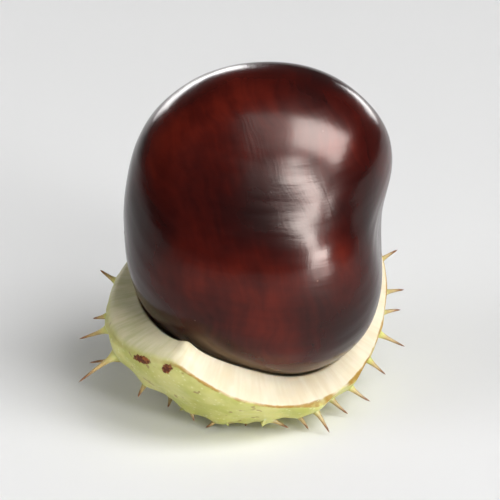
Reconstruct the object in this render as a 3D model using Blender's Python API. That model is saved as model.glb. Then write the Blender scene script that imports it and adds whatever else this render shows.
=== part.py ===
"""A conker resting in the valve of spiny husk that it grew in.

Metres, +Z up. The origin is the middle of the small flat spot that the husk stands on.
Both pieces are worked out in the nut's own frame, in millimetres from the middle of the nut:
x across, y along the nut's height, z out of its front. The nut leans back in the world by LEAN.
"""

import math
import random

import bmesh
import bpy
import numpy as np

# Scale and stance
MM = 0.001
LEAN = math.radians(22)  # how far the nut's front is turned up from the level
REST_DEPTH = 0.5  # how much of the husk's rounded underside is pressed flat
REST_MIDDLE = (-1.0, -0.3)  # world x and y of the flat spot, seen from the middle of the nut

# The nut: half sizes of a rounded block, then the swellings and hollows on it
NUT_HALF = (16.35, 19.63, 15.0)
NUT_SQUARENESS = 2.3
# Each form: direction of its middle, change as a share of the radius, reach across, reach up
NUT_FORMS = (
    ((0.90, 0.33, 0.29), 0.124, 0.60, 0.60),  # right shoulder
    ((0.66, -0.69, 0.29), 0.042, 0.60, 0.60),  # lower right swelling
    ((0.98, -0.02, 0.20), -0.171, 0.50, 0.40),  # valley between the two
    ((-0.37, 0.93, 0.00), -0.039, 0.50, 0.50),  # sloping left shoulder
    ((-0.40, -0.92, 0.00), -0.096, 0.45, 0.45),  # lower left slope
    ((0.00, -0.75, -0.66), -0.040, 0.65, 0.65),  # flatter seat of the pale scar, underneath
)
NUT_SEGMENTS = 48
NUT_RINGS = 32

# The husk: one of three valves, boat shaped, with a point at each end where its split faces meet
HUSK_MIDDLE = (-1.1, -6.5, 0.0)
HUSK_HALF_RIGHT = 19.2
HUSK_HALF_LEFT = 18.4
HUSK_HALF_HEIGHT = 18.0
HUSK_HALF_FRONT = 18.0
HUSK_HALF_BACK = 21.0
HUSK_OPENING = (0.0, 0.45, 0.89)  # the way the bowl faces
HUSK_POINT_TURN = math.radians(121)  # where the front point is, round the opening from the right
HUSK_POINT_RISE = math.radians(17)  # the front point above the middle, and the back one below it
FRONT_SPLIT = math.radians(27)  # how far each split face drops below the opening,
LEFT_SPLIT = math.radians(33)  # which leaves a third of the capsule between them
POINT_BLUNTNESS = 0.07
FIT_GAP = 0.36  # air between nut and husk
POINT_GAP = 0.9  # more air just inside the front point
POINT_GAP_REACH = 0.45
THINNEST_WALL = 1.1
HUSK_SEGMENTS = 48
HUSK_RINGS = 34
OUTER_SHARE = 16 / 34  # of the rings, how many shape the outside, and where the inside begins
INNER_SHARE = 19 / 34

# The spines: a fleshy foot, then a thin needle
SPINE_SIDES = 6
SPINE_SUNK = 0.75
FOOT_RADIUS = 1.5
# From the buried root to the tip: how far along the spine, as a share of its length, and the radius
SPINE_SHARES = (0.0, 0.0, 0.0, 0.12, 0.30, 0.62, 1.0)
SPINE_RADII = (0.0, 0.8, FOOT_RADIUS, 0.95, 0.52, 0.33, 0.0)
BURIED_RINGS = 2  # the first two lie SPINE_SUNK below the skin
FLOOR_CLEARANCE = 0.35  # between the ground and the tips of the underside's spines
SPLAY_STEP = 0.3
SPLAY_RISE = 0.25
# Spines seen along the skyline: root across and up, tip across and up, root in front of the middle,
# and the size of the foot
PLACED_SPINES = (
    (-17.6, -7.2, -19.6, -6.3, -9.0, 0.7),
    (-16.2, -3.9, -16.7, -1.4, -10.0, 0.6),
    (-18.5, -12.0, -20.3, -12.3, -5.0, 0.6),
    (-18.4, -13.6, -21.9, -14.8, -2.5, 0.9),
    (-17.0, -16.6, -21.9, -20.1, 0.5, 1.5),
    (-15.9, -17.8, -20.8, -17.8, -5.0, 0.7),
    (-13.5, -20.0, -14.6, -21.9, -0.5, 1.0),
    (-10.5, -21.6, -11.0, -23.3, -4.0, 0.7),
    (-8.2, -22.9, -7.7, -24.8, 0.5, 1.0),
    (-4.3, -24.0, -6.3, -25.6, 1.0, 1.2),
    (-1.3, -24.2, -1.4, -25.4, 0.5, 0.6),
    (1.2, -24.2, 3.9, -25.6, 1.5, 1.0),
    (4.6, -23.6, 6.2, -26.0, 0.5, 0.9),
    (6.9, -22.9, 8.9, -26.2, 2.0, 1.3),
    (8.9, -21.9, 9.9, -24.9, -3.5, 0.9),
    (11.8, -19.6, 14.0, -22.5, 0.0, 1.1),
    (14.1, -16.3, 16.0, -19.3, -4.0, 0.7),
    (15.6, -12.8, 18.5, -15.9, -6.0, 0.9),
    (16.2, -10.6, 18.0, -11.3, -7.5, 0.6),
    (16.3, -7.8, 18.5, -8.8, -9.0, 0.8),
    (16.2, -3.6, 17.7, -3.8, -10.5, 0.5),
)
# The rest of them, strewn over the hidden side by a rule
STREWN_SEED = 7
STREWN_ROUND_A_BALL = 150
STREWN_JITTER = 0.06
STREWN_BEHIND = -7.5  # how far behind the middle the strewn ones begin
SPINE_SPACING = 3.6
SPINE_LENGTHS = (3.0, 4.6)
SPINE_TILT = 0.35
FOOT_SIZES = (0.7, 1.15)
REST_CLEAR_ROUND = 6.4  # no spine roots nearer than this to the middle of the flat spot
EDGE_CLEAR = math.radians(6)

NUT_COLOUR = (0.06, 0.008, 0.006)
NUT_ROUGHNESS = 0.15
HUSK_COLOUR = (0.42, 0.45, 0.14)
HUSK_ROUGHNESS = 0.5

UPWARDS = np.array((0.0, 1.0, 0.0))  # along the nut's height
ASKEW = np.array((0.2, 0.5, 0.84))  # only has to differ from every spine's own direction
SMALL_TURN = 0.02


def unit(vectors):
    vectors = np.asarray(vectors, float)
    return vectors / np.linalg.norm(vectors, axis=-1, keepdims=True)


OPENING = unit(HUSK_OPENING)
ACROSS = np.array((1.0, 0.0, 0.0))
FORWARD = np.cross(ACROSS, OPENING)
MIDDLE = np.array(HUSK_MIDDLE)


def to_world(points):
    """World directions, in millimetres, of points in the nut's own frame"""
    x, y, z = np.asarray(points, float).T
    sin = math.sin(LEAN)
    cos = math.cos(LEAN)
    return np.stack([x, y * sin - z * cos, y * cos + z * sin], axis=1)


def nut_radius(directions):
    """Distance from the middle of the nut to its skin, along each unit direction"""
    power = NUT_SQUARENESS
    block = (np.abs(directions / NUT_HALF) ** power).sum(axis=1) ** (-1 / power)
    share = np.ones(len(directions))
    for middle, change, reach_across, reach_up in NUT_FORMS:
        out = unit(middle)
        up = unit(UPWARDS - out * (out @ UPWARDS))
        side = np.cross(up, out)
        spread = 2 / (1 + directions @ out + 1e-9)
        across = directions @ side * spread / reach_across
        along = directions @ up * spread / reach_up
        share += change * np.exp(-(across**2) - along**2)
    return block * share


def nut_height(points):
    """How far each point lies outside the nut's skin, measured from the nut's middle"""
    distance = np.linalg.norm(points, axis=1)
    return distance - nut_radius(points / distance[:, None])


def turn_of(directions):
    """Angle round the opening: 0 on the right, a quarter turn at the front"""
    return np.arctan2(directions @ FORWARD, directions @ ACROSS)


def edge_angle(turn):
    """Angle between the bowl's deepest direction and its split edge"""
    from_points = np.sin(turn - HUSK_POINT_TURN)
    drop = np.where(from_points < 0, math.tan(FRONT_SPLIT), math.tan(LEFT_SPLIT))
    blunt = np.sqrt(from_points**2 + POINT_BLUNTNESS**2) - POINT_BLUNTNESS
    rise = math.tan(HUSK_POINT_RISE) * np.cos(turn - HUSK_POINT_TURN)
    return math.pi / 2 + np.arctan(rise - drop * blunt)


def skin_radius(directions):
    """Distance from the husk's middle to its green skin"""
    x, y, z = directions.T
    half_x = np.where(x > 0, HUSK_HALF_RIGHT, HUSK_HALF_LEFT)
    half_z = np.where(z > 0, HUSK_HALF_FRONT, HUSK_HALF_BACK)
    round_skin = ((x / half_x) ** 2 + (y / HUSK_HALF_HEIGHT) ** 2 + (z / half_z) ** 2) ** -0.5
    return np.maximum(round_skin, seat_radius(directions) + THINNEST_WALL)


def seat_radius(directions):
    """Distance from the husk's middle to the hollow that the nut grew in"""
    point = place_on_ball(HUSK_POINT_TURN, edge_angle(HUSK_POINT_TURN))
    from_point = np.arccos(np.clip(directions @ point, -1, 1))
    gap = FIT_GAP + POINT_GAP * np.exp(-((from_point / POINT_GAP_REACH) ** 2))
    near = np.zeros(len(directions))
    far = np.full(len(directions), 45.0)
    for _ in range(40):
        half = (near + far) / 2
        inside = nut_height(MIDDLE + directions * half[:, None]) < gap
        near = np.where(inside, half, near)
        far = np.where(inside, far, half)
    return far


def place_on_ball(turn, angle):
    """Unit direction at a turn round the opening and an angle from the bowl's deepest direction"""
    turn = np.asarray(turn, float)[..., None]
    angle = np.asarray(angle, float)[..., None]
    outward = np.cos(turn) * ACROSS + np.sin(turn) * FORWARD
    return np.sin(angle) * outward - np.cos(angle) * OPENING


def skin_normal(direction):
    """Outward direction of the husk's skin where the ray in this direction leaves it"""
    side = unit(np.cross(direction, ASKEW)) * SMALL_TURN
    other = np.cross(direction, side)
    around = unit(np.array([direction, direction + side, direction + other]))
    start, along, beside = around * skin_radius(around)[:, None]
    normal = unit(np.cross(along - start, beside - start))
    return normal if normal @ direction > 0 else -normal


def new_collection(name, is_helper):
    collection = bpy.data.collections.new(name)
    collection.hide_render = is_helper
    bpy.context.scene.collection.children.link(collection)
    return collection


def add_object(name, bm, collection, colour, roughness):
    mesh = bpy.data.meshes.new(name)
    bm.to_mesh(mesh)
    bm.free()
    obj = bpy.data.objects.new(name, mesh)
    collection.objects.link(obj)
    material = bpy.data.materials.new(name)
    material.use_nodes = True
    shader = material.node_tree.nodes["Principled BSDF"]
    shader.inputs["Base Color"].default_value = (*colour, 1)
    shader.inputs["Roughness"].default_value = roughness
    material.diffuse_color = (*colour, 1)
    mesh.materials.append(material)
    return obj


def shade_smooth(obj, sharp_degrees):
    obj.data.shade_smooth()
    obj.data.set_sharp_from_angle(angle=math.radians(sharp_degrees))


def move_vertices(bm, points, origin):
    """Places the vertices at these points of the nut's own frame"""
    for vertex, place in zip(bm.verts, (to_world(points) - origin) * MM):
        vertex.co = place


def nut_mesh(origin):
    bm = bmesh.new()
    bmesh.ops.create_uvsphere(bm, u_segments=NUT_SEGMENTS, v_segments=NUT_RINGS, radius=1)
    directions = unit([vertex.co for vertex in bm.verts])
    move_vertices(bm, directions * nut_radius(directions)[:, None], origin)
    return bm


def bowl_points(ball):
    """Folds a ball into the valve: its lower rings are the skin, then the cut flesh, then the seat"""
    turn = np.arctan2(ball[:, 1], ball[:, 0])
    up_the_ball = 1 - np.arccos(np.clip(ball[:, 2], -1, 1)) / math.pi
    edge = edge_angle(turn)
    outside = np.clip(up_the_ball / OUTER_SHARE, 0, 1)
    inside = np.clip((1 - up_the_ball) / (1 - INNER_SHARE), 0, 1)
    through = np.clip((up_the_ball - OUTER_SHARE) / (INNER_SHARE - OUTER_SHARE), 0, 1)
    directions = place_on_ball(turn, edge * np.minimum(outside, inside))
    skin = skin_radius(directions)
    seat = seat_radius(directions)
    return MIDDLE + directions * (skin + (seat - skin) * through)[:, None]


def husk_mesh(origin):
    bm = bmesh.new()
    bmesh.ops.create_uvsphere(bm, u_segments=HUSK_SEGMENTS, v_segments=HUSK_RINGS, radius=1)
    move_vertices(bm, bowl_points(unit([vertex.co for vertex in bm.verts])), origin)
    everything = bm.verts[:] + bm.edges[:] + bm.faces[:]
    bmesh.ops.bisect_plane(
        bm, geom=everything, plane_co=(0, 0, 0), plane_no=(0, 0, -1), clear_outer=True
    )
    rim = [edge for edge in bm.edges if edge.is_boundary]
    bmesh.ops.contextual_create(bm, geom=rim)
    bmesh.ops.recalc_face_normals(bm, faces=bm.faces[:])
    return bm


def root_of(direction):
    """The place on the skin in this direction, or just below the split edge if that is lower"""
    turn = turn_of(direction)
    angle = min(math.acos(-direction @ OPENING), edge_angle(turn) - EDGE_CLEAR)
    direction = place_on_ball(turn, angle)
    return MIDDLE + direction * skin_radius(direction[None])[0]


def placed_spines():
    """Root, tip and foot size of each spine along the skyline"""
    for root_x, root_y, tip_x, tip_y, forward, foot in PLACED_SPINES:
        root = root_of(unit(np.array((root_x, root_y, forward)) - MIDDLE))
        lean_forward = math.hypot(tip_x - root[0], tip_y - root[1]) * forward / HUSK_HALF_FRONT
        yield root, np.array((tip_x, tip_y, root[2] + lean_forward)), foot


def strewn_spines(taken, rest_height):
    """Root, tip and foot size of the spines on the hidden side, spaced by the golden angle"""
    rng = random.Random(STREWN_SEED)
    golden = math.pi * (3 - math.sqrt(5))
    rest_spot = np.array((*REST_MIDDLE, rest_height))
    for index in range(STREWN_ROUND_A_BALL):
        angle = math.acos(1 - 2 * (index + 0.5) / STREWN_ROUND_A_BALL)
        turn = index * golden + rng.uniform(-1, 1) * STREWN_JITTER / max(math.sin(angle), 0.2)
        angle += rng.uniform(-1, 1) * STREWN_JITTER
        length = rng.uniform(*SPINE_LENGTHS)
        tilt = np.array([rng.uniform(-SPINE_TILT, SPINE_TILT) for _ in range(3)])
        foot = rng.uniform(*FOOT_SIZES)
        if angle > edge_angle(turn) - EDGE_CLEAR:
            continue
        direction = place_on_ball(turn, angle)
        root = root_of(direction)
        near_rest = np.linalg.norm(to_world(root[None])[0] - rest_spot) < REST_CLEAR_ROUND
        crowded = any(np.linalg.norm(root - other) < SPINE_SPACING for other in taken)
        if root[2] > STREWN_BEHIND or near_rest or crowded:
            continue
        taken.append(root)
        yield root, root + unit(skin_normal(direction) + tilt) * length, foot


def splayed(root, tip, rest_height):
    """World root and reach of a spine, bent outwards on the underside until its tip clears the ground"""
    length = np.linalg.norm(tip - root)
    start = to_world(root[None])[0]
    reach = to_world(tip[None])[0] - start
    outward = np.append(unit(start[:2] - REST_MIDDLE), SPLAY_RISE)
    while start[2] + reach[2] < rest_height + FLOOR_CLEARANCE:
        reach = unit(reach + outward * SPLAY_STEP) * length
    return start, reach


def spine_mesh(start, reach, foot, origin):
    """A slim ball drawn out into a foot and a needle, its root sunk in the flesh"""
    length = np.linalg.norm(reach)
    axis = reach / length
    side = unit(np.cross(axis, ASKEW))
    other = np.cross(axis, side)
    foot = min(foot, (start[2] - origin[2] - 0.1) / FOOT_RADIUS)
    bm = bmesh.new()
    last_ring = len(SPINE_SHARES) - 1
    bmesh.ops.create_uvsphere(bm, u_segments=SPINE_SIDES, v_segments=last_ring, radius=1)
    for vertex in bm.verts:
        ring = round((1 - math.acos(max(-1, min(1, vertex.co.z))) / math.pi) * last_ring)
        turn = math.atan2(vertex.co.y, vertex.co.x)
        along = length * SPINE_SHARES[ring] if ring >= BURIED_RINGS else -SPINE_SUNK
        thick = SPINE_RADII[ring] * (foot if SPINE_SHARES[ring] < 0.25 else 1.0)
        around = side * math.cos(turn) + other * math.sin(turn)
        vertex.co = (start + axis * along + around * thick - origin) * MM
    return bm


def fuse(obj, others, collection):
    """Joins the spines to the husk as one solid"""
    union = obj.modifiers.new("Spines", "BOOLEAN")
    union.operation = "UNION"
    union.solver = "EXACT"
    union.operand_type = "COLLECTION"
    union.collection = collection
    bpy.context.view_layer.objects.active = obj
    bpy.ops.object.modifier_apply(modifier=union.name)
    for other in others:
        bpy.data.objects.remove(other)


def main():
    for obj in list(bpy.data.objects):
        bpy.data.objects.remove(obj)
    parts = new_collection("Conker in its husk", is_helper=False)
    helpers = new_collection("Spines to fuse", is_helper=True)

    # The lowest point of the skin sets the ground, and the flat spot lies REST_DEPTH above it
    turns, angles = np.meshgrid(np.radians(np.arange(0, 360, 3)), np.radians(np.arange(0, 85, 1.5)))
    underside = place_on_ball(turns.ravel(), angles.ravel())
    lowest = to_world(MIDDLE + underside * skin_radius(underside)[:, None])[:, 2].min()
    rest_height = lowest + REST_DEPTH
    origin = np.array((*REST_MIDDLE, rest_height))

    nut = add_object("nut", nut_mesh(origin), parts, NUT_COLOUR, NUT_ROUGHNESS)
    husk = add_object("husk", husk_mesh(origin), parts, HUSK_COLOUR, HUSK_ROUGHNESS)

    spines = []
    placed = list(placed_spines())
    taken = [root for root, _, _ in placed]
    for root, tip, foot in placed + list(strewn_spines(taken, rest_height)):
        start, reach = splayed(root, tip, rest_height)
        bm = spine_mesh(start, reach, foot, origin)
        spine = add_object("spine", bm, helpers, HUSK_COLOUR, HUSK_ROUGHNESS)
        spine.display_type = "WIRE"
        spines.append(spine)
    print(len(spines), "spines")
    fuse(husk, spines, helpers)
    bpy.data.collections.remove(helpers)
    shade_smooth(nut, 60)
    shade_smooth(husk, 40)


main()
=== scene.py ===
# %% [markdown]
# # A conker in its husk
#
# A ripe horse chestnut seed sits in the valve of husk that it grew in. Two things make it look
# real. The nut is nearly black-brown but polished, so almost everything that the eye sees on it
# is a reflection, and those only look right on a very smooth, finely divided surface. The husk is
# the opposite: pale, soft, a little translucent, with a cut face, a skin and spines.
#
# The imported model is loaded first. It is the frame that the two detailed pieces are built in.

# %% Load the frame
import math
import random

import bmesh
import bpy
import numpy as np
from mathutils import Matrix, Vector


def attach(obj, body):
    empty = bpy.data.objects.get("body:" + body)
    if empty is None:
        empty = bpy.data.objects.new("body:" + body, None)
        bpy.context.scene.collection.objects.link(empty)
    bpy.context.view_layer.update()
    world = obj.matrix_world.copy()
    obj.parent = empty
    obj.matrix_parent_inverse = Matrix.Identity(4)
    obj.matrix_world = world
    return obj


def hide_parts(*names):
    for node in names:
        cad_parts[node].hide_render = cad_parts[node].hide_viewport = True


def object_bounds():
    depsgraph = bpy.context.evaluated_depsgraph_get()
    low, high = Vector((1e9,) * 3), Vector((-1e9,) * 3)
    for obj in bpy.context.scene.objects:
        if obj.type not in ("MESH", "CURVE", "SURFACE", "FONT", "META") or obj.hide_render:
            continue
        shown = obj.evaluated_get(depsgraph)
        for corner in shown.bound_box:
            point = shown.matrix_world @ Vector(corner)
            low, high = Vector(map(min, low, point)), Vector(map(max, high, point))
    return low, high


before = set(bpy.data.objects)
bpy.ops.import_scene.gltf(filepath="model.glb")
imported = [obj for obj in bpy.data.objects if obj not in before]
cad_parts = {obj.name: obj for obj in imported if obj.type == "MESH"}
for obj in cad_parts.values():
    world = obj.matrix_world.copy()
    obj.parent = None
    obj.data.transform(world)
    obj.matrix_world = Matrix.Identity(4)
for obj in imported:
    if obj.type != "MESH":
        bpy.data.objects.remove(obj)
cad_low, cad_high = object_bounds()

print("nodes:", ", ".join(sorted(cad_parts)))

# %% [markdown]
# ## Where things are
#
# Both pieces are easiest to describe in the nut's own frame: x across, y along its height, z out
# of its front, in millimetres from its middle. The nut leans back, so its front is turned up a
# little. One function turns that frame into the world's. The others here measure directions:
# nearly every swelling, hollow and patch below is a soft bump round one direction.

# %% The nut's own frame
MM = 0.001
LEAN = math.radians(22)
UPWARDS = np.array((0.0, 1.0, 0.0))


def unit(vectors):
    vectors = np.asarray(vectors, float)
    return vectors / np.linalg.norm(vectors, axis=-1, keepdims=True)


def angle_from(middle, directions):
    return np.arccos(np.clip(directions @ middle, -1, 1))


def fading(distance, reach):
    """1 at no distance, a third at the reach, and soon 0 past it"""
    return np.exp(-((distance / reach) ** 2))


def to_world(points):
    x, y, z = np.asarray(points, float).T
    sin = math.sin(LEAN)
    cos = math.cos(LEAN)
    return np.stack([x, y * sin - z * cos, y * cos + z * sin], axis=-1)


print("the nut's height points to", to_world(UPWARDS[None])[0].round(2))

# %% [markdown]
# ## The shape of the nut
#
# A conker is a rounded block rather than a ball: it grew pressed against the walls of its husk.
# A superellipsoid gives that fullness with one number. Each swelling and hollow is then a soft
# bump of the radius round one direction. The hollow on the right is the valley where a
# smaller seed lay beside this one, and it is wider across than it is tall.

# %% Nut radius
NUT_HALF = (16.35, 19.63, 15.0)
NUT_SQUARENESS = 2.3
NUT_FORMS = (  # direction, change of the radius, reach across, reach up
    ((0.90, 0.33, 0.29), 0.124, 0.60, 0.60),  # right shoulder
    ((0.66, -0.69, 0.29), 0.042, 0.60, 0.60),  # lower right swelling
    ((0.98, -0.02, 0.20), -0.171, 0.50, 0.40),  # valley between the two
    ((-0.37, 0.93, 0.00), -0.039, 0.50, 0.50),  # sloping left shoulder
    ((-0.40, -0.92, 0.00), -0.096, 0.45, 0.45),  # lower left slope
    ((0.00, -0.75, -0.66), -0.040, 0.65, 0.65),  # flatter seat of the pale scar, underneath
)


def nut_radius(directions, forms=NUT_FORMS):
    power = NUT_SQUARENESS
    block = (np.abs(directions / NUT_HALF) ** power).sum(axis=1) ** (-1 / power)
    share = np.ones(len(directions))
    for middle, change, reach_across, reach_up in forms:
        out = unit(middle)
        up = unit(UPWARDS - out * (out @ UPWARDS))
        side = np.cross(up, out)
        spread = 2 / (1 + directions @ out + 1e-9)
        across = directions @ side * spread / reach_across
        along = directions @ up * spread / reach_up
        share += change * np.exp(-(across**2) - along**2)
    return block * share


def nut_height(points):
    distance = np.linalg.norm(points, axis=1)
    return distance - nut_radius(points / distance[:, None])


print("nut, top to bottom:", round(float(nut_radius(np.array([UPWARDS, -UPWARDS])).sum()), 1), "mm")

# %% [markdown]
# ## The husk's split edge
#
# The husk splits into three valves. Each is a third of a hollow ball, boat shaped, with a
# point at each end where two split faces meet. A place on it is given by a turn round the
# opening, an angle up from the bowl's deepest point, and a distance from the middle. The split
# edge is then one function of the turn: it drops away from the points on both sides, more
# steeply on the left, and is a little blunt at the points themselves.

# %% The split edge
HUSK_OPENING = (0.0, 0.45, 0.89)
HUSK_POINT_TURN = math.radians(121)
HUSK_POINT_RISE = math.radians(17)
FRONT_SPLIT = math.radians(27)
LEFT_SPLIT = math.radians(33)
POINT_BLUNTNESS = 0.07

OPENING = unit(HUSK_OPENING)
ACROSS = np.array((1.0, 0.0, 0.0))
FORWARD = np.cross(ACROSS, OPENING)
MIDDLE = np.array((-1.1, -6.5, 0.0))


def place_on_ball(turn, angle):
    turn = np.asarray(turn, float)[..., None]
    angle = np.asarray(angle, float)[..., None]
    outward = np.cos(turn) * ACROSS + np.sin(turn) * FORWARD
    return np.sin(angle) * outward - np.cos(angle) * OPENING


def turn_of(directions):
    return np.arctan2(directions @ FORWARD, directions @ ACROSS)


def edge_angle(turn):
    from_points = np.sin(turn - HUSK_POINT_TURN)
    drop = np.where(from_points < 0, math.tan(FRONT_SPLIT), math.tan(LEFT_SPLIT))
    blunt = np.sqrt(from_points**2 + POINT_BLUNTNESS**2) - POINT_BLUNTNESS
    rise = math.tan(HUSK_POINT_RISE) * np.cos(turn - HUSK_POINT_TURN)
    return math.pi / 2 + np.arctan(rise - drop * blunt)


def faces_left(turn, softness=0.04):
    """1 on the left split face, 0 on the front one, with a short change at the points"""
    return 1 / (1 + np.exp(-np.sin(turn - HUSK_POINT_TURN) / softness))


HUSK_POINT = place_on_ball(HUSK_POINT_TURN, edge_angle(HUSK_POINT_TURN))
print("the front point is", round(math.degrees(edge_angle(HUSK_POINT_TURN))), "degrees up the bowl")

# %% [markdown]
# ## The husk's seat and skin
#
# The hollow inside is the nut's own shape with a little air, more of it inside the front point.
# A Boolean could subtract a swollen nut from the husk. Here the seat is found by halving the
# distance along each ray until the place where the ray leaves the nut is known, so it stays a
# function that the flesh, the skin and the spines can all ask.

# %% Seat
FIT_GAP = 0.36
POINT_GAP = 0.9
POINT_GAP_REACH = 0.45
FARTHEST = 45.0
HALVINGS = 30


def seat_radius(directions):
    gap = FIT_GAP + POINT_GAP * fading(angle_from(HUSK_POINT, directions), POINT_GAP_REACH)
    near = np.zeros(len(directions))
    far = np.full(len(directions), FARTHEST)
    for _ in range(HALVINGS):
        half = (near + far) / 2
        inside = nut_height(MIDDLE + directions * half[:, None]) < gap
        near = np.where(inside, half, near)
        far = np.where(inside, far, half)
    return far


print("the seat is", round(float(seat_radius(-OPENING[None])[0]), 1), "mm deep")

# %% [markdown]
# Outside, the skin is an uneven ball, longer at the back than at the front. It is pushed out
# where the wall would get too thin, and the rim swells beside the nut on the right, where a
# sliver of its flesh shows past the nut.

# %% Skin
HUSK_HALF_RIGHT = 19.2
HUSK_HALF_LEFT = 18.4
HUSK_HALF_HEIGHT = 18.0
HUSK_HALF_FRONT = 18.0
HUSK_HALF_BACK = 21.0
THINNEST_WALL = 1.1
RIM_SWELL = 0.9
RIM_SWELL_TURN = math.radians(-24)
RIM_SWELL_REACH = 0.34


def skin_radius(directions, seat=None):
    if seat is None:
        seat = seat_radius(directions)
    x, y, z = directions.T
    half_x = np.where(x > 0, HUSK_HALF_RIGHT, HUSK_HALF_LEFT)
    half_z = np.where(z > 0, HUSK_HALF_FRONT, HUSK_HALF_BACK)
    round_skin = ((x / half_x) ** 2 + (y / HUSK_HALF_HEIGHT) ** 2 + (z / half_z) ** 2) ** -0.5
    rim = place_on_ball(RIM_SWELL_TURN, edge_angle(RIM_SWELL_TURN))
    swell = RIM_SWELL * fading(angle_from(rim, directions), RIM_SWELL_REACH)
    return np.maximum(round_skin, seat + THINNEST_WALL) + swell


wall_below = skin_radius(-OPENING[None]) - seat_radius(-OPENING[None])
print("the wall under it is", round(float(wall_below[0]), 1), "mm thick")

# %% [markdown]
# ## The ground
#
# The lowest place of the husk, less the little that is pressed flat under it, gives the height of
# the ground, and with it the way from the nut's own frame to mesh coordinates in metres.

# %% Ground and origin
REST_DEPTH = 0.5
REST_MIDDLE = (-1.0, -0.3)

turns, angles = np.meshgrid(np.radians(np.arange(0, 360, 3)), np.radians(np.arange(0, 85, 1.5)))
underside = place_on_ball(turns.ravel(), angles.ravel())
lowest = to_world(MIDDLE + underside * skin_radius(underside)[:, None])[:, 2].min()
GROUND = lowest + REST_DEPTH
ORIGIN = np.array((*REST_MIDDLE, GROUND))


def to_mesh_places(points):
    return (to_world(points) - ORIGIN) * MM


print("the nut's middle is", round(-GROUND, 1), "mm above the ground")

# %% [markdown]
# ## Small unevenness
#
# Grown surfaces are never exact. A sum of a few soft waves in random directions gives an
# unevenness that can be added to a radius with numpy, for all vertices in one go, and it is the
# same on every run because its draws are seeded.

# %% Soft waves
def soft_waves(points, length, seed, count=14):
    """Unevenness between about -1 and 1, with waves about this many millimetres long"""
    draws = np.random.default_rng(seed)
    total = np.zeros(len(points))
    for _ in range(count):
        heading = unit(draws.normal(size=3))
        stretch = draws.uniform(0.7, 1.4)
        total += np.sin(points @ heading * (2 * math.pi / (length * stretch)) + draws.uniform(0, 7))
    return total / math.sqrt(count)


# %% [markdown]
# ## From a bmesh to a piece
#
# Each piece starts as one of bmesh's own balls. Its vertices are moved to places worked out by
# numpy, which keeps the ball's clean, closed faces. What the finish has to know later, such as
# how far a place is from the split edge, is kept as an attribute on the vertices.

# %% Helpers for pieces
def move_vertices(bm, places):
    for vertex, place in zip(bm.verts, places):
        vertex.co = place


def add_piece(name, bm):
    mesh = bpy.data.meshes.new(name)
    bm.to_mesh(mesh)
    bm.free()
    mesh.shade_smooth()
    piece = bpy.data.objects.new(name, mesh)
    bpy.context.scene.collection.objects.link(piece)
    print(name, len(mesh.polygons), "faces")
    return piece


def set_attributes(piece, marks):
    for name, values in marks.items():
        layer = piece.data.attributes.new(name, "FLOAT", "POINT")
        layer.data.foreach_set("value", np.asarray(values, np.float32))


# %% [markdown]
# ## The nut's surface
#
# An icosphere has triangles of one size all over and no poles, so a reflection runs across it
# without a pinch. Every vertex is pushed out to the nut's radius. Growth leaves faint ripples
# that run round the nut, in rings about the middle of its front, and they are what breaks up
# the edges of the highlights on a real one. They are waves of places that are squeezed together
# along the rings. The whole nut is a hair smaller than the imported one, to leave them room.

# %% Nut surface
NUT_SUBDIVISIONS = 7
FINE_FORMS = (((0.38, -0.38, 0.84), 0.035, 0.45, 0.35),)  # a little fuller low on the front
INSET = 0.07
SLOW_SWELL = 0.05
SLOW_SWELL_LENGTH = 9.0
RING_AXIS = unit((-0.03, 0.68, 0.73))
ALONG_RINGS = 0.22
RIPPLE = 0.012
RIPPLE_LENGTH = 1.6

bm = bmesh.new()
bmesh.ops.create_icosphere(bm, subdivisions=NUT_SUBDIVISIONS, radius=1)
directions = unit([vertex.co for vertex in bm.verts])
radius = nut_radius(directions, NUT_FORMS + FINE_FORMS) - INSET
places = directions * radius[:, None]
radius = radius + SLOW_SWELL * soft_waves(places, SLOW_SWELL_LENGTH, seed=3)
across_rings = RING_AXIS * (places @ RING_AXIS)[:, None]
squeezed = places * ALONG_RINGS + across_rings * (1 - ALONG_RINGS)
radius = radius + RIPPLE * soft_waves(squeezed, RIPPLE_LENGTH, seed=4)
print("nut surface", len(bm.verts), "vertices, mean radius", round(float(radius.mean()), 2), "mm")

# %% [markdown]
# ## Where the nut is redder or darker
#
# The seed coat has no even colour: broad zones are redder. The colour is also painted nearly black as
# painted shade in the valley, low on the right beside the husk and on the left flank, which turns from
# the light, and it is darker in the middle of the front. They could be painted by hand. A few
# directions with a strength and a reach do the same and can be read and changed.

# %% Warm zones and painted shade
TONE_AND_PAINTED_SHADE_ZONES = (  # direction, redder or darker, reach
    ((-0.50, 0.52, 0.67), 0.8, 0.42),
    ((0.10, 0.75, 0.65), 0.3, 0.30),
    ((0.62, 0.45, 0.64), 0.7, 0.28),
    ((0.62, -0.38, 0.69), 1.0, 0.26),
    ((0.20, -0.50, 0.84), 0.5, 0.28),
    ((0.10, -0.80, 0.59), 0.5, 0.32),
    ((-0.30, -0.66, 0.69), 0.4, 0.35),
    ((0.50, -0.78, 0.38), -0.9, 0.28),
    ((0.80, 0.00, 0.60), -1.0, 0.24),
    ((0.02, 0.12, 0.99), -0.6, 0.30),
    ((-0.15, -0.25, 0.96), -0.7, 0.28),
    ((-0.90, 0.00, 0.43), -0.8, 0.35),
    ((-0.86, 0.40, 0.32), -0.6, 0.26),
)

# the negative zones are painted shade: the valley, beside the husk and the left flank
warmth = np.zeros(len(directions))
for middle, amount, reach in TONE_AND_PAINTED_SHADE_ZONES:
    warmth += amount * fading(angle_from(unit(middle), directions), reach)
print("warmth from", round(float(warmth.min()), 2), "to", round(float(warmth.max()), 2))
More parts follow.
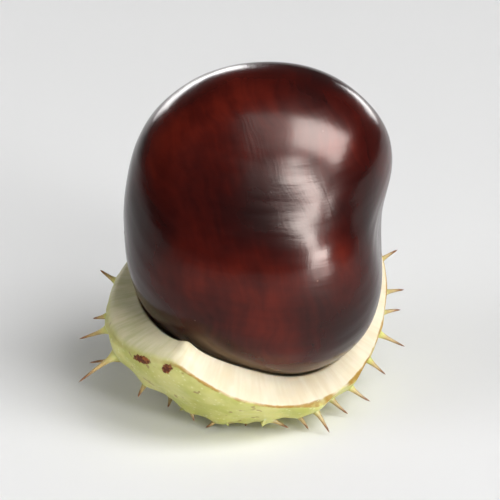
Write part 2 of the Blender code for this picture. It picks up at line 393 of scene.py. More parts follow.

# %% [markdown]
# ## The scar and the painted reflection
#
# The pale scar, where the seed was fed, lies hidden underneath. It is a round patch with a
# wavering edge, sunk a little below the polished coat and rough.
#
# Just above the cut flesh, the polish is painted paler in front: a painted reflection of the flesh that
# it would mirror there. It fades with the height above the split edge, and ends at the front point.

# %% Scar and painted reflection
SCAR_MIDDLE = unit((0.0, -0.75, -0.66))
SCAR_REACH = math.radians(38)
SCAR_WAVER = 0.03
SCAR_EDGE = 0.05
SCAR_SUNK = 0.12
SCAR_ROUGH = 0.05
# how far up and how far round the painted reflection of the flesh reaches
PAINTED_REFLECTION_REACH = 1.5
PAINTED_REFLECTION_END = 0.08

scar_angle = angle_from(SCAR_MIDDLE, directions) + SCAR_WAVER * soft_waves(places, 6.0, seed=5)
scar = np.clip((SCAR_REACH - scar_angle) / SCAR_EDGE, 0, 1)
radius = radius - scar * (SCAR_SUNK - SCAR_ROUGH * soft_waves(places, 1.2, seed=6))

from_bowl = places - MIDDLE
away = np.linalg.norm(from_bowl, axis=1)
turn = turn_of(from_bowl)
above_edge = (angle_from(-OPENING, from_bowl / away[:, None]) - edge_angle(turn)) * away
# painted reflection: a pale band above the split edge, where the polish would mirror the flesh
film = fading(np.maximum(above_edge, 0), PAINTED_REFLECTION_REACH) * (1 - faces_left(turn, PAINTED_REFLECTION_END))
print("scar on", round(float(scar.mean()) * 100), "% of the nut")

# %% Nut
move_vertices(bm, to_mesh_places(directions * radius[:, None]))
nut = add_piece("nut_polished", bm)
set_attributes(nut, {"film": film, "scar": scar, "warmth": warmth})
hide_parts("nut")
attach(nut, "root")

# %% [markdown]
# ## Spines on the skyline
#
# The spines that stand out against the background give the husk its outline, so each has its
# root and its tip written down, as seen from the front. Roots are moved out to the skin, and
# down from the split edge, so that none grows out of the cut flesh.

# %% Placed spines
PLACED_SPINES = (  # root across and up, tip across and up, root forward, foot size
    (-17.6, -7.2, -19.6, -6.3, -9.0, 0.7),
    (-16.2, -3.9, -16.7, -1.4, -10.0, 0.6),
    (-18.5, -12.0, -20.3, -12.3, -5.0, 0.6),
    (-18.4, -13.6, -21.9, -14.8, -2.5, 0.9),
    (-17.0, -16.6, -21.9, -20.1, 0.5, 1.5),
    (-15.9, -17.8, -20.8, -17.8, -5.0, 0.7),
    (-13.5, -20.0, -14.6, -21.9, -0.5, 1.0),
    (-10.5, -21.6, -11.0, -23.3, -4.0, 0.7),
    (-8.2, -22.9, -7.7, -24.8, 0.5, 1.0),
    (-4.3, -24.0, -6.3, -25.6, 1.0, 1.2),
    (-1.3, -24.2, -1.4, -25.4, 0.5, 0.6),
    (1.2, -24.2, 3.9, -25.6, 1.5, 1.0),
    (4.6, -23.6, 6.2, -26.0, 0.5, 0.9),
    (6.9, -22.9, 8.9, -26.2, 2.0, 1.3),
    (8.9, -21.9, 9.9, -24.9, -3.5, 0.9),
    (11.8, -19.6, 14.0, -22.5, 0.0, 1.1),
    (14.1, -16.3, 16.0, -19.3, -4.0, 0.7),
    (15.6, -12.8, 18.5, -15.9, -6.0, 0.9),
    (16.2, -10.6, 18.0, -11.3, -7.5, 0.6),
    (16.3, -7.8, 18.5, -8.8, -9.0, 0.8),
    (16.2, -3.6, 17.7, -3.8, -10.5, 0.5),
)
EDGE_CLEAR = math.radians(6)


def root_of(direction):
    turn = turn_of(direction)
    angle = min(math.acos(-direction @ OPENING), edge_angle(turn) - EDGE_CLEAR)
    direction = place_on_ball(turn, angle)
    return MIDDLE + direction * skin_radius(direction[None])[0]


def placed_spines():
    for root_x, root_y, tip_x, tip_y, forward, foot in PLACED_SPINES:
        root = root_of(unit(np.array((root_x, root_y, forward)) - MIDDLE))
        lean_forward = math.hypot(tip_x - root[0], tip_y - root[1]) * forward / HUSK_HALF_FRONT
        yield root, np.array((tip_x, tip_y, root[2] + lean_forward)), foot


placed = list(placed_spines())
print(len(placed), "spines on the skyline")

# %% [markdown]
# ## Spines on the hidden side
#
# The rest are strewn over the back by the golden angle, which spreads points evenly over a ball,
# with a little seeded jitter. A purely random strewing would leave bald patches and clumps. One
# is left out where it would crowd another, or where the husk rests on the ground.

# %% Strewn spines
STREWN_SEED = 7
STREWN_ROUND_A_BALL = 150
STREWN_JITTER = 0.06
STREWN_BEHIND = -7.5
SPINE_SPACING = 3.6
SPINE_LENGTHS = (3.0, 4.6)
SPINE_TILT = 0.35
FOOT_SIZES = (0.7, 1.15)
REST_CLEAR_ROUND = 6.4
ASKEW = np.array((0.2, 0.5, 0.84))
SMALL_TURN = 0.02


def skin_normal(direction):
    side = unit(np.cross(direction, ASKEW)) * SMALL_TURN
    other = np.cross(direction, side)
    around = unit(np.array([direction, direction + side, direction + other]))
    start, along, beside = around * skin_radius(around)[:, None]
    normal = unit(np.cross(along - start, beside - start))
    return normal if normal @ direction > 0 else -normal


def strewn_spines(taken):
    rng = random.Random(STREWN_SEED)
    golden = math.pi * (3 - math.sqrt(5))
    for index in range(STREWN_ROUND_A_BALL):
        angle = math.acos(1 - 2 * (index + 0.5) / STREWN_ROUND_A_BALL)
        turn = index * golden + rng.uniform(-1, 1) * STREWN_JITTER / max(math.sin(angle), 0.2)
        angle += rng.uniform(-1, 1) * STREWN_JITTER
        length = rng.uniform(*SPINE_LENGTHS)
        tilt = np.array([rng.uniform(-SPINE_TILT, SPINE_TILT) for _ in range(3)])
        foot = rng.uniform(*FOOT_SIZES)
        if angle > edge_angle(turn) - EDGE_CLEAR:
            continue
        direction = place_on_ball(turn, angle)
        root = root_of(direction)
        near_rest = np.linalg.norm(to_world(root[None])[0] - ORIGIN) < REST_CLEAR_ROUND
        crowded = any(np.linalg.norm(root - other) < SPINE_SPACING for other in taken)
        if root[2] > STREWN_BEHIND or near_rest or crowded:
            continue
        taken.append(root)
        yield root, root + unit(skin_normal(direction) + tilt) * length, foot


strewn = list(strewn_spines([root for root, _, _ in placed]))
print(len(strewn), "spines strewn behind")

# %% [markdown]
# Underneath, a spine would stab into the ground. It is splayed outwards instead, a step at a
# time, until its tip is clear, as if the husk had been set down on it.

# %% Splayed spines
FLOOR_CLEARANCE = 0.35
SPLAY_STEP = 0.3
SPLAY_RISE = 0.25
FOOT_RADIUS = 1.5
FOOT_ABOVE_GROUND = 0.1


def splayed(root, tip):
    length = np.linalg.norm(tip - root)
    start = to_world(root[None])[0]
    reach = to_world(tip[None])[0] - start
    outward = np.append(unit(start[:2] - REST_MIDDLE), SPLAY_RISE)
    while start[2] + reach[2] < GROUND + FLOOR_CLEARANCE:
        reach = unit(reach + outward * SPLAY_STEP) * length
    return start, reach


spines = []
for root, tip, foot in placed + strewn:
    start, reach = splayed(root, tip)
    foot = min(foot, (start[2] - GROUND - FOOT_ABOVE_GROUND) / FOOT_RADIUS)
    spines.append((root, start, reach, foot))
print(len(spines), "spines in all")

# %% [markdown]
# ## The husk, folded from a ball
#
# The valve is a closed bowl. It could be a surface with Solidify, but the wall is thick at the
# front and thin on the right, and both its sides have shapes of their own. So a ball is folded
# in on itself: its lower rings become the skin, the next ones turn over the edge and cross the
# cut flesh, and the upper ones go down the hollow to the bottom. It stays one closed mesh, and
# each vertex knows how far it is from the edge, which the colours need later.
#
# The edges of the cut are rounded first: crisp in front, soft on the left, where the flesh has
# begun to dry and curl.

# %% Wall and rounded edges
FRONT_EDGE_ROUND = 0.35
LEFT_EDGE_ROUND = 1.3
SEAT_EDGE_ROUND = 0.3
MOST_OF_WALL_OUTSIDE = 0.45
MOST_OF_WALL_INSIDE = 0.2
SNUG = 0.2


def wall_at_edge(turn):
    """Radii of the skin and of the seat along the split edge, the seat closer than the gap"""
    round_the_edge = np.radians(np.arange(0, 361, 0.5)) - math.pi
    at_edge = place_on_ball(round_the_edge, edge_angle(round_the_edge))
    skin = np.interp(turn, round_the_edge, skin_radius(at_edge))
    seat = np.interp(turn, round_the_edge, seat_radius(at_edge)) - SNUG
    return skin, seat


def fall_away(distance, rounding):
    """How far the cut falls away at a distance from a rounded edge"""
    return rounding - np.sqrt(np.maximum(rounding**2 - np.maximum(rounding - distance, 0) ** 2, 0))


def roundings(turn, wall):
    skin_side = FRONT_EDGE_ROUND + (LEFT_EDGE_ROUND - FRONT_EDGE_ROUND) * faces_left(turn)
    skin_side = np.minimum(skin_side, wall * MOST_OF_WALL_OUTSIDE)
    return skin_side, np.minimum(SEAT_EDGE_ROUND, wall * MOST_OF_WALL_INSIDE)


skin, seat = wall_at_edge(np.array((math.radians(90),)))
print("the cut flesh is", round(float((skin - seat)[0]), 1), "mm wide in front")

# %% [markdown]
# The fold itself is then a few interpolations. Rings are drawn towards both edges of the cut,
# where the surface turns fastest.

# %% Fold the ball
SKIN_SHARE = 0.46
SEAT_SHARE = 0.64
RINGS_AT_EDGES = 0.75


def fold_ball(ball):
    turn = np.arctan2(ball[:, 1], ball[:, 0])
    up_the_ball = 1 - np.arccos(np.clip(ball[:, 2], -1, 1)) / math.pi
    is_skin = up_the_ball < SKIN_SHARE
    is_hollow = up_the_ball > SEAT_SHARE
    on_skin = np.clip(up_the_ball / SKIN_SHARE, 0, 1)
    on_seat = np.clip((1 - up_the_ball) / (1 - SEAT_SHARE), 0, 1)
    across = np.clip((up_the_ball - SKIN_SHARE) / (SEAT_SHARE - SKIN_SHARE), 0, 1)
    across = across - np.sin(2 * math.pi * across) / (2 * math.pi) * RINGS_AT_EDGES

    skin_at_edge, seat_at_edge = wall_at_edge(turn)
    wall = skin_at_edge - seat_at_edge
    skin_side, seat_side = roundings(turn, wall)
    from_skin = across * wall
    droop = fall_away(from_skin, skin_side) + fall_away(wall - from_skin, seat_side)
    edge = edge_angle(turn)
    skin_top = edge - skin_side / skin_at_edge
    seat_top = edge - seat_side / seat_at_edge
    angle = edge - droop / (skin_at_edge - from_skin)
    angle = np.where(is_skin, skin_top * on_skin, angle)
    angle = np.where(is_hollow, seat_top * on_seat, angle)

    directions = place_on_ball(turn, angle)
    seat = seat_radius(directions)
    skin = skin_radius(directions, seat)
    seat = seat - SNUG
    distance = np.where(is_hollow, seat, skin - (skin - seat) * across)
    from_edge = np.where(is_skin, -(skin_top * (1 - on_skin)) * HUSK_HALF_HEIGHT, from_skin)
    return directions, distance, from_edge, is_hollow.astype(float)


HUSK_SEGMENTS = 256
HUSK_RINGS = 216
bm = bmesh.new()
bmesh.ops.create_uvsphere(bm, u_segments=HUSK_SEGMENTS, v_segments=HUSK_RINGS, radius=1)
ball = unit([vertex.co for vertex in bm.verts])
directions, distance, from_edge, hollow = fold_ball(ball)
print("husk body", len(bm.verts), "vertices")

# %% [markdown]
# ## Uneven skin, fleshy feet and the nib
#
# The skin waves a little, and swells into a fleshy foot round each spine. At the front point the
# two split faces meet in a small nib that stands up towards the opening.

# %% Husk surface
SKIN_BEGINS = 0.8
SKIN_WAVES = ((0.10, 7.0, 11), (0.02, 1.5, 12))  # height, length, seed
FOOT_RISE = 0.70
FOOT_SPREAD = 1.7
FOOT_TOP = 0.05
NIB = MIDDLE + HUSK_POINT * 15.0
NIB_RISE = 0.9
NIB_REACH = 1.0

places = MIDDLE + directions * distance[:, None]
on_skin = np.clip(-from_edge / SKIN_BEGINS, 0, 1) * (1 - hollow)
for wave, length, seed in SKIN_WAVES:
    distance = distance + on_skin * wave * soft_waves(places, length, seed=seed)
may_have_feet = (1 - hollow) * (from_edge < FOOT_TOP)
for root, _, _, foot in spines:
    from_root = np.linalg.norm(places - root, axis=1)
    distance = distance + may_have_feet * FOOT_RISE * foot * fading(from_root, FOOT_SPREAD * foot)
places = MIDDLE + directions * distance[:, None]
nib = NIB_RISE * fading(np.linalg.norm(places - NIB, axis=1), NIB_REACH)
places = places + nib[:, None] * OPENING
print("the nib stands up", round(float(nib.max()), 2), "mm")

# %% [markdown]
# ## Bruises
#
# Two brown bruises mark the skin near the front point. Each is a leaning oval, seen from the
# front. The finish breaks up its outline later.

# %% Bruises
BRUISES = (  # across, up, half length, half width, turn in degrees
    (-13.9, -17.1, 1.25, 0.50, -18),
    (-10.8, -18.1, 0.75, 0.62, 40),
)


def bruise_at(points):
    """1 in the middle of a bruise and 0 away from them"""
    total = np.zeros(len(points))
    for x, y, half_length, half_width, turn in BRUISES:
        turn = math.radians(turn)
        right = points[:, 0] - x
        up = points[:, 1] - y
        along = (right * math.cos(turn) + up * math.sin(turn)) / half_length
        beside = (up * math.cos(turn) - right * math.sin(turn)) / half_width
        total += np.exp(-(along**2) - beside**2)
    return total * (points[:, 2] > 0)


bruise = bruise_at(places) * (from_edge < 0.4) * (1 - hollow)
print((bruise > 0.4).sum(), "bruised vertices")

# %% [markdown]
# ## Pressed flat, and marked
#
# The underside is pressed flat where the husk stands: places below the ground are raised to it.
# The attributes are collected here. A turn jumps from 180 to -180 degrees at the seam of the ball,
# so it is kept as a sine and a cosine, which don't.
#
# The fold mirrors the ball, which turns it inside out, so its normals are recalculated to point
# outwards. The body then goes through a mesh and back, which puts its vertices in the order of
# the numbers before the spines are added behind them.

# %% Husk body
body_places = to_world(places) - ORIGIN
body_places[:, 2] = np.maximum(body_places[:, 2], 0)
move_vertices(bm, body_places * MM)
bmesh.ops.recalc_face_normals(bm, faces=bm.faces)
print("the body holds", round(bm.calc_volume(signed=True) / MM**3 / 1000, 1), "cm3")
round_turn = np.arctan2(ball[:, 1], ball[:, 0])
marks = {
    "from_edge": from_edge,
    "hollow": hollow,
    "left_face": faces_left(round_turn),
    "round_x": np.cos(round_turn),
    "round_y": np.sin(round_turn),
    "bruise": bruise,
    "needle": np.zeros(len(places)),
}
body = bpy.data.meshes.new("husk_body")
bm.to_mesh(body)
bm.free()
bm = bmesh.new()
bm.from_mesh(body)
bpy.data.meshes.remove(body)
print("pressed flat:", (body_places[:, 2] == 0).sum(), "vertices")

# %% [markdown]
# ## The shape of a spine
#
# A spine is a fleshy foot that narrows quickly into a thin dry needle. A slim ball drawn
# out along the spine gives that, with its lower end sunk in the flesh and a point at the other.
# Its width at each share of the length is a short list.

# %% Spine profile
SPINE_SIDES = 12
SPINE_RINGS = 18
SPINE_SUNK = 0.75
SUNK_SHARE = 0.2
FOOT_SHARE = 0.3
PROFILE_SHARES = (-0.2, 0.0, 0.05, 0.12, 0.20, 0.30, 0.45, 0.62, 0.85, 1.0)
PROFILE_RADII = (0.6, 1.30, 0.98, 0.70, 0.50, 0.36, 0.26, 0.20, 0.13, 0.03)

slim_ball = bmesh.new()
bmesh.ops.create_uvsphere(slim_ball, u_segments=SPINE_SIDES, v_segments=SPINE_RINGS, radius=1)
on_ball = unit([vertex.co for vertex in slim_ball.verts])
up_the_spine = 1 - np.arccos(np.clip(on_ball[:, 2], -1, 1)) / math.pi
share = up_the_spine * (1 + SUNK_SHARE) - SUNK_SHARE
height = np.maximum(share, 0)
profile = np.interp(share, PROFILE_SHARES, PROFILE_RADII)
profile[(up_the_spine < 1e-6) | (up_the_spine > 1 - 1e-6)] = 0
sideways = on_ball[:, :2] / np.maximum(np.linalg.norm(on_ball[:, :2], axis=1), 1e-9)[:, None]
print("a spine has", len(share), "vertices")

# %% [markdown]
# ## The spines, set in the husk
#
# The same ball is moved into the shape of each spine in turn and copied into the husk's mesh.
# Each needle is bent a little, as real ones are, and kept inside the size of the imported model.

# %% Set the spines
NEEDLE_BEND = 0.16
BENDING_SEED = 21
SPINE_FROM_EDGE = -3.0
LOWEST_NEEDLE = 0.02
SPINES_WITHIN = np.array([cad_low, cad_high]) / MM
SPINES_WITHIN[0, 2] += LOWEST_NEEDLE

rng = random.Random(BENDING_SEED)
one_spine = bpy.data.meshes.new("one_spine")
for root, start, reach, foot in spines:
    length = np.linalg.norm(reach)
    axis = reach / length
    side = unit(np.cross(axis, ASKEW))
    other = np.cross(axis, side)
    bend = (side * rng.uniform(-1, 1) + other * rng.uniform(-1, 1)) * NEEDLE_BEND * length
    thick = profile * (1 + (foot - 1) * np.clip(1 - height / FOOT_SHARE, 0, 1))
    around = sideways[:, :1] * side + sideways[:, 1:] * other
    along = np.where(share > 0, length * share, SPINE_SUNK * share / SUNK_SHARE)
    spine_places = start - ORIGIN + along[:, None] * axis + thick[:, None] * around
    spine_places = spine_places + (height * (1 - height))[:, None] * bend
    move_vertices(slim_ball, np.clip(spine_places, *SPINES_WITHIN) * MM)
    slim_ball.to_mesh(one_spine)
    bm.from_mesh(one_spine)
slim_ball.free()
bpy.data.meshes.remove(one_spine)
print(len(spines), "spines set")

# %% Husk
on_spines = {"from_edge": np.full(len(share), SPINE_FROM_EDGE), "needle": height}
for name, values in marks.items():
    one = on_spines.get(name, np.zeros(len(share)))
    marks[name] = np.append(values, np.tile(one, len(spines)))
husk = add_piece("husk_valve", bm)
set_attributes(husk, marks)
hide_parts("husk")
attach(husk, "root")

# %% [markdown]
# ## Writing finishes
#
# A finish is a small network of nodes. Written as Python expressions it stays readable: this
# class wraps a value that varies over a surface, and adds a Math node for each operation.

# %% Varying values
class Varying:
    def __init__(self, finish, socket):
        self.finish = finish
        self.socket = socket

    def math(self, operation, *values):
        return self.finish.add("ShaderNodeMath", {"operation": operation}, dict(enumerate(values)))

    def __add__(self, other):
        return self.math("ADD", self, other)

    __radd__ = __add__

    def __sub__(self, other):
        return self.math("SUBTRACT", self, other)

    def __rsub__(self, other):
        return self.math("SUBTRACT", other, self)

    def __mul__(self, other):
        return self.math("MULTIPLY", self, other)

    __rmul__ = __mul__

    def __truediv__(self, other):
        return self.math("DIVIDE", self, other)

    def __rtruediv__(self, other):
        return self.math("DIVIDE", other, self)

    def ramp(self, low, high):
        """0 below low and 1 above high, with a soft change between them"""
        sockets = {"Value": self, "From Min": low, "From Max": high}
        return self.finish.add("ShaderNodeMapRange", {"interpolation_type": "SMOOTHSTEP"}, sockets)


# %% [markdown]
# The other class holds the material and adds every node. Patterns read Object coordinates in
# millimetres, so a scale of 1 is a pattern about a millimetre wide.

# %% Finishes
class Finish:
    def __init__(self, name, **fixed):
        self.material = bpy.data.materials.new(name)
        self.material.use_nodes = True
        self.tree = self.material.node_tree
        self.shader = self.tree.nodes["Principled BSDF"]
        for socket, value in fixed.items():
            self.shader.inputs[socket.replace("_", " ")].default_value = value

    def add(self, kind, settings=None, sockets=None, out=0):
        node = self.tree.nodes.new(kind)
        for name, value in (settings or {}).items():
            if name == "stops":
                self.set_stops(node.color_ramp, value)
            else:
                setattr(node, name, value)
        for name, value in (sockets or {}).items():
            self.feed(node.inputs[name], value)
        return Varying(self, node.outputs[out])

    def set_stops(self, ramp, stops):
        while len(ramp.elements) < len(stops):
            ramp.elements.new(0.5)
        for element, (position, colour) in zip(ramp.elements, stops):
            element.position = position
            element.color = (*colour, 1)

    def feed(self, socket, value):
        if isinstance(value, Varying):
            self.tree.links.new(value.socket, socket)
        elif isinstance(value, (tuple, list)) and socket.type == "RGBA":
            socket.default_value = (*value, 1)
        else:
            socket.default_value = value

    def attribute(self, name):
        return self.add("ShaderNodeAttribute", {"attribute_name": name}, out="Fac")

    def places(self):
        return self.scaled(self.add("ShaderNodeTexCoord", out="Object"), 1 / MM)

    def scaled(self, vector, amount):
        sockets = {"Vector": vector, "Scale": amount}
        return self.add("ShaderNodeVectorMath", {"operation": "SCALE"}, sockets)

    def summed(self, first, second):
        return self.add("ShaderNodeVectorMath", {"operation": "ADD"}, {0: first, 1: second})

    def dot(self, first, second):
        settings = {"operation": "DOT_PRODUCT"}
        return self.add("ShaderNodeVectorMath", settings, {0: first, 1: second}, out="Value")

    def vector(self, x, y, z=0.0):
        return self.add("ShaderNodeCombineXYZ", None, {0: x, 1: y, 2: z})

    def noise(self, where, scale, detail=3.0, roughness=0.5, out="Fac"):
        sockets = {"Vector": where, "Scale": scale, "Detail": detail, "Roughness": roughness}
        return self.add("ShaderNodeTexNoise", None, sockets, out)

    def cells(self, where, scale):
        sockets = {"Vector": where, "Scale": scale}
        return self.add("ShaderNodeTexVoronoi", None, sockets, out="Distance")

    def mixed(self, factor, first, second):
        settings = {"data_type": "RGBA"}
        return self.add("ShaderNodeMix", settings, {0: factor, 6: first, 7: second}, out=2)

    def colours(self, value, stops):
        return self.add("ShaderNodeValToRGB", {"stops": stops}, {"Fac": value}, out="Color")

    def bump(self, height, depth_mm):
        sockets = {"Height": height, "Distance": depth_mm * MM}
        return self.add("ShaderNodeBump", None, sockets, out="Normal")

    def shade(self, **varying):
        for socket, value in varying.items():
            self.feed(self.shader.inputs[socket.replace("_", " ")], value)

    def wear(self, piece):
        piece.data.materials.clear()
        piece.data.materials.append(self.material)
        print(self.material.name, len(self.tree.nodes), "nodes")


# %% [markdown]
# ## Rings and ribs in the seed coat
#
# Two faint patterns cross each other in the coat of a conker. Growth rings run round its front,
# and ribs run from its foot to its top like the grain of polished wood. Each comes from a noise
# that is squeezed along one axis, so it changes fast from line to line and slowly along each
# line. A second, slow noise makes the lines wander.

# %% Rings and ribs
polish = Finish("nut_polish", IOR=1.32, Specular_Tint=(1.0, 0.88, 0.82, 1))
where = polish.places()
ring = polish.dot(where, tuple(float(value) for value in to_world(RING_AXIS[None])[0]))
wander = polish.noise(where, 0.16)
bends = polish.noise(where, 0.12, detail=2, out="Color")
rib = polish.dot(polish.summed(where, polish.scaled(bends, 6.0)), (0.96, 0.22, 0.18))


def ring_pattern(along, across, wavering):
    step = (ring + wander * wavering) * across
    steps = polish.vector(step, step * 0.4, step * 0.7)
    squeezed = polish.summed(polish.scaled(where, along), steps)
    return polish.noise(squeezed, 1.0, detail=4, roughness=0.55)


def rib_pattern(along, across, aside, detail, roughness=0.5):
    steps = polish.vector(rib * across, rib * aside)
    squeezed = polish.summed(polish.scaled(where, along), steps)
    return polish.noise(squeezed, 1.0, detail=detail, roughness=roughness)


print("rings run about", to_world(RING_AXIS[None])[0].round(2))

# %% [markdown]
# ## The colour of the nut
#
# Under the polish the coat is a deep red-brown, darker in slow clouds. All patterns are added to one
# tone, and a ramp turns the tone into four steps of brown, so the colours stay together however the
# patterns cross. A few specks of dust lie on top, and a pale band low in front is a painted reflection
# of the flesh. The scar underneath is bare and dull, pale fawn with brown flecks.

# %% Nut colour
COAT_COLOURS = (
    (0.36, (0.010, 0.0014, 0.0014)),
    (0.47, (0.021, 0.0022, 0.0018)),
    (0.57, (0.044, 0.0038, 0.0022)),
    (0.68, (0.090, 0.0080, 0.0036)),
)
DUST_COLOUR = (0.30, 0.16, 0.11)
PAINTED_REFLECTION_COLOUR = (0.19, 0.128, 0.075)
SCAR_FAWN = (0.47, 0.36, 0.27)
SCAR_FLECKS = (0.20, 0.11, 0.06)

rings = ring_pattern(0.16, 0.9, wavering=0.8)
coat_grain = rib_pattern(0.14, 0.9, 0.3, detail=3)
clouds = polish.noise(where, 0.085, detail=4)
tone = 0.5 + (rings - 0.5) * 0.06 + (coat_grain - 0.5) * 0.15 + (clouds - 0.5) * 0.6
# the zones redden the coat and darken it as painted shade in the valley, beside the husk and on the
# left flank
coat = polish.colours(tone + polish.attribute("warmth") * 0.10, COAT_COLOURS)
dust = polish.cells(where, 0.24).ramp(0.035, 0.015)
coat = polish.mixed(dust * 0.35, coat, DUST_COLOUR)
# painted reflection of the flesh, mixed into the coat's colour as a pale band low in front
painted_reflection_strength = polish.attribute("film") * (0.45 + polish.noise(where, 0.5) * 0.9)
coat = polish.mixed(painted_reflection_strength, coat, PAINTED_REFLECTION_COLOUR)
flecks = polish.noise(where, 0.9, detail=4, roughness=0.7).ramp(0.52, 0.62)
scar_mask = polish.attribute("scar")
scar_colour = polish.mixed(flecks * 0.8, SCAR_FAWN, SCAR_FLECKS)
polish.shade(Base_Color=polish.mixed(scar_mask, coat, scar_colour))
print("the coat goes from", COAT_COLOURS[0][1], "to", COAT_COLOURS[-1][1])

# %% [markdown]
# ## The polish of the nut
#
# The polish is a thin wax, smooth but not a mirror. Its roughness varies with fine streaks along
# the rings, and a bump of a few hundredths of a millimetre feathers the edges of the
# highlights. A low index of refraction keeps the pale floor from greying the dark coat.

# %% Nut polish
POLISH_ROUGHNESS = 0.155
STREAK_ROUGHNESS = 0.11
SCAR_ROUGHNESS = 0.6
POLISH_RELIEF = 0.045

streaks = ring_pattern(0.22, 1.1, wavering=0.6)
ribs = rib_pattern(0.16, 1.7, 0.5, detail=1, roughness=0.9)
coat_roughness = POLISH_ROUGHNESS + streaks * STREAK_ROUGHNESS
polish.shade(
    Roughness=coat_roughness * (1 - scar_mask) + scar_mask * SCAR_ROUGHNESS,
    Normal=polish.bump(streaks * 0.45 + ribs * 0.16, POLISH_RELIEF),
)
polish.wear(nut)

# %% [markdown]
# ## The skin of the husk
#
# The husk is one piece with three surfaces, told apart by the attributes that the mesh
# carries. The skin is a pale yellow-green, mottled, with lighter pores and a few brown specks.
# The whole husk is moist, so light goes a little way into it, more of the red than of the blue.

# %% Husk skin
rind = Finish(
    "husk_rind",
    Roughness=0.45,
    IOR=1.33,
    Subsurface_Weight=0.35,
    Subsurface_Radius=(1.0, 0.7, 0.35),
    Subsurface_Scale=0.0012,
)
SKIN_GREEN = (0.46, 0.47, 0.11)
SKIN_YELLOW = (0.62, 0.60, 0.22)
PORE_COLOUR = (0.76, 0.75, 0.44)
SPECK_COLOUR = (0.24, 0.12, 0.04)

where = rind.places()
mottle = rind.noise(where, 0.25)
grain = rind.noise(where, 2.2, detail=4, roughness=0.6)
skin = rind.mixed(mottle.ramp(0.35, 0.65), SKIN_GREEN, SKIN_YELLOW)
pores = rind.cells(where, 1.3).ramp(0.30, 0.12)
skin = rind.mixed(pores * 0.45, skin, PORE_COLOUR)
specks = rind.noise(where, 0.8, detail=1).ramp(0.68, 0.74)
skin = rind.mixed(specks * 0.6, skin, SPECK_COLOUR)
print("skin from", SKIN_GREEN, "to", SKIN_YELLOW)

# %% [markdown]
# ## The cut flesh
#
# The flesh is cream, with fibres that run across the wall. A noise on the turn round the opening draws
# them, with hardly any change from the skin to the seat. On the left face, which turns from the light
# and has begun to dry, the flesh is painted duller and greener, partly the drying flesh and partly
# painted shade, and towards the top it is painted darker olive, which is painted shade.

# %% Husk flesh
FRONT_FLESH = ((0.60, 0.51, 0.35), (0.66, 0.59, 0.44))
SHADED_LEFT_FLESH = ((0.45, 0.43, 0.24), (0.58, 0.53, 0.35))
HIGH_LEFT_PAINTED_SHADE = (0.24, 0.26, 0.11)
FIBRE_TURN = 18
FIBRE_LENGTH = 0.12

from_edge = rind.attribute("from_edge")
left_face = rind.attribute("left_face")
round_x = rind.attribute("round_x") * FIBRE_TURN
round_y = rind.attribute("round_y") * FIBRE_TURN
across_the_wall = rind.vector(round_x, round_y, from_edge * FIBRE_LENGTH)
fibres = rind.noise(across_the_wall, 1.3, roughness=0.6)
flesh_tone = (fibres * 0.5 + mottle * 0.5).ramp(0.36, 0.62)
# the left face's flesh is partly drying flesh and partly painted shade
flesh = rind.mixed(left_face, rind.mixed(flesh_tone, *FRONT_FLESH), rind.mixed(flesh_tone, *SHADED_LEFT_FLESH))
climb = rind.dot(where, (0.0, 0.375, 0.927))
# painted shade: the top of the left face is darkened towards olive
flesh = rind.mixed(left_face * climb.ramp(15.5, 23.0) * 0.65, flesh, HIGH_LEFT_PAINTED_SHADE)
print("flesh from", FRONT_FLESH[0], "to", FRONT_FLESH[1])

# %% [markdown]
# ## Where skin and flesh meet
#
# Along the cut, the skin dries to a thin brown line, broken here and there, and nearly absent on
# the left. The distance from the edge, made uneven by a noise, places both the line and the
# change from skin to flesh. The bruises get a ragged outline and a rusty middle the same way.

# %% Edge line and bruises
LINE_COLOUR = (0.33, 0.19, 0.025)
HOLLOW_COLOUR = (0.60, 0.52, 0.36)
BRUISE_DARK = (0.10, 0.018, 0.004)
BRUISE_RUST = (0.30, 0.10, 0.02)

hollow_mask = rind.attribute("hollow")
seam = from_edge + (rind.noise(where, 0.9) - 0.5) * 0.35
line_strength = rind.noise(where, 0.35, detail=2).ramp(0.25, 0.52) * (1 - left_face * 0.85)
brown_line = seam.ramp(-0.12, 0.06) * seam.ramp(0.34, 0.12) * line_strength
on_flesh = (seam / (1 + left_face * 4)).ramp(-0.05, 0.18)
surface = rind.mixed(on_flesh, skin, flesh)
surface = rind.mixed(brown_line, surface, LINE_COLOUR)
surface = rind.mixed(hollow_mask, surface, HOLLOW_COLOUR)
ragged = (rind.noise(where, 1.3, detail=4, roughness=0.65) - 0.5) * 1.1
bruised = (rind.attribute("bruise") + ragged).ramp(0.36, 0.56)
bruise_colour = rind.mixed(grain.ramp(0.46, 0.64), BRUISE_DARK, BRUISE_RUST)
surface = rind.mixed(bruised, surface, bruise_colour)
print("line", LINE_COLOUR, "bruises", BRUISE_DARK, "to", BRUISE_RUST)

# %% [markdown]
# ## The needles, and the husk's sheen
#
# A needle is green and fleshy at its foot, dries to tan along its length, and is red-brown at the
# tip. The skin has a soft sheen, the flesh and the bruises are duller, and a fine grain, the
# pores and the fibres give all of it a relief that shows only close up.

# %% Husk finish
NEEDLE_TAN = (0.40, 0.30, 0.13)
NEEDLE_TIP = (0.15, 0.055, 0.022)
SKIN_ROUGHNESS = 0.34
HUSK_RELIEF = 0.012

needle = rind.attribute("needle")
dry = rind.mixed(needle.ramp(0.12, 0.45), surface, NEEDLE_TAN)
rind.shade(
    Base_Color=rind.mixed(needle.ramp(0.50, 0.90), dry, NEEDLE_TIP),
    Roughness=SKIN_ROUGHNESS + on_flesh * 0.22 + hollow_mask * 0.1 + grain * 0.08 + bruised * 0.3,
    Normal=rind.bump(grain * 0.3 + pores * 0.3 + fibres * 0.4, HUSK_RELIEF),
)
rind.wear(husk)

# %% [markdown]
# ## The floor
#
# A plain white table stretches out of sight in every direction, so the nut mirrors nothing else
# along its edges.

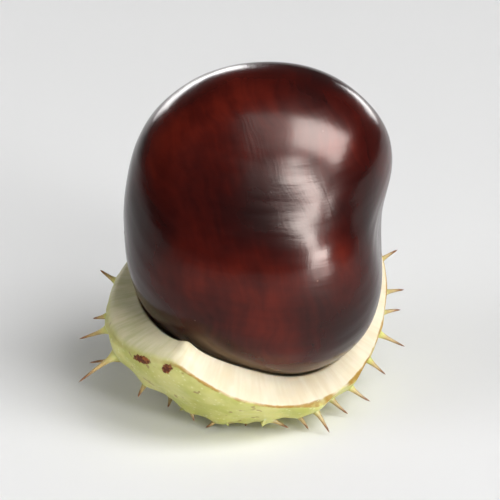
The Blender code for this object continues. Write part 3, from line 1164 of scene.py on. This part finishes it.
# %% Floor
FLOOR_HALF = 3.0
bm = bmesh.new()
bmesh.ops.create_grid(bm, x_segments=1, y_segments=1, size=FLOOR_HALF)
floor = add_piece("floor", bm)
table_top = Finish("floor_white", Base_Color=(0.72, 0.72, 0.72, 1), Roughness=0.7)
table_top.wear(floor)

# %% [markdown]
# ## Soft lights in two parts
#
# A large light at the upper right and two smaller ones below it give the polished nut its chain
# of highlights. The others soften the left side and the top, and draw bright rims from behind.
# A dark polish needs far brighter lights to show in it than pale flesh needs to be lit. So each
# light has two parts: one that lights the surfaces, and one, a little nearer, that only shows in
# their polish. The nearer one would be hidden if both stood in one place.

# %% Lights
TARGET = Vector((0.0, 0.0, 0.02))
LIGHT_DISTANCE = 1.26
SHINE_DISTANCE = 1.20
SOFT_LIGHTS = (  # name, degrees right and up from the front, roll, width, height, light, shine
    ("upper", 57, 53.5, 34, 0.70, 0.76, 7.3, 28),
    ("front", 25, 30.5, 43, 0.22, 0.68, 13, 41),
    ("low", 39, 8, 0, 0.44, 0.32, 9.5, 44),
    ("overhead", 14, 68, 0, 0.36, 0.70, 2.0, 4.0),
    ("left_fill", -62, 38, 0, 0.80, 0.80, 2.4, 0),
    ("back_left", -163, 7, 0, 0.60, 0.20, 5, 8),
    ("back_right", 152, 7, 0, 0.40, 0.20, 5, 8),
)


def add_part(name, way, roll, distance, wide, tall, brightness):
    light = bpy.data.lights.new(name, "AREA")
    light.shape = "RECTANGLE"
    light.size = wide
    light.size_y = tall
    light.energy = brightness * math.pi * wide * tall
    lamp = bpy.data.objects.new(name, light)
    bpy.context.scene.collection.objects.link(lamp)
    lamp.location = TARGET + way * distance
    facing = (-way).to_track_quat("-Z", "Y").to_matrix()
    lamp.rotation_euler = (facing @ Matrix.Rotation(math.radians(roll), 3, "Z")).to_euler()
    return lamp


for name, to_the_right, up, roll, wide, tall, brightness, shine in SOFT_LIGHTS:
    turn = math.radians(to_the_right)
    rise = math.radians(up)
    way = Vector((math.sin(turn) * math.cos(rise), -math.cos(turn) * math.cos(rise), math.sin(rise)))
    lighting = add_part(f"{name}_light", way, roll, LIGHT_DISTANCE, wide, tall, brightness)
    lighting.visible_glossy = False
    if shine:
        shining = add_part(f"{name}_shine", way, roll, SHINE_DISTANCE, wide, tall, shine)
        shining.visible_diffuse = False
    print(name, "gives", round(lighting.data.energy, 1), "W")

# %% [markdown]
# ## The dim room
#
# The room round the lights is dim, so that the nut stays dark between its reflections.

# %% World
WORLD_BRIGHTNESS = 0.05
world = bpy.data.worlds.new("dim_room")
world.use_nodes = True
background = world.node_tree.nodes["Background"]
background.inputs["Color"].default_value = (1.0, 1.0, 1.0, 1)
background.inputs["Strength"].default_value = WORLD_BRIGHTNESS
bpy.context.scene.world = world
bpy.context.scene.view_settings.view_transform = "Standard"
print("the room gives", WORLD_BRIGHTNESS)

# %% [markdown]
# ## The camera
#
# It looks down at the nut's front, square on, from well back, so the shapes are not drawn out by
# perspective.

# %% Camera
CAMERA_UP = math.radians(22)
CAMERA_DISTANCE = 0.6
SENSOR_WIDTH = 36
VIEW_WIDTH = 0.0613
VIEW_MIDDLE = (-0.84, -3.83, 0.0)

aim = Vector(to_mesh_places([VIEW_MIDDLE])[0])
camera = bpy.data.objects.new("camera", bpy.data.cameras.new("camera"))
bpy.context.scene.collection.objects.link(camera)
camera.location = aim + Vector((0, -math.cos(CAMERA_UP), math.sin(CAMERA_UP))) * CAMERA_DISTANCE
camera.rotation_euler = (aim - camera.location).to_track_quat("-Z", "Y").to_euler()
camera.data.sensor_width = SENSOR_WIDTH
camera.data.lens = SENSOR_WIDTH * CAMERA_DISTANCE / VIEW_WIDTH
camera.data.clip_start = 0.01
bpy.context.scene.camera = camera
print("lens", round(camera.data.lens), "mm")

# %% [markdown]
# ## Sizes
#
# The spines are kept inside the imported model's size, which is printed here. The dressed
# model has to stay inside the imported one's size.

# %% Sizes
print("cad", [round(v * 1000, 2) for v in (*cad_low, *cad_high)])
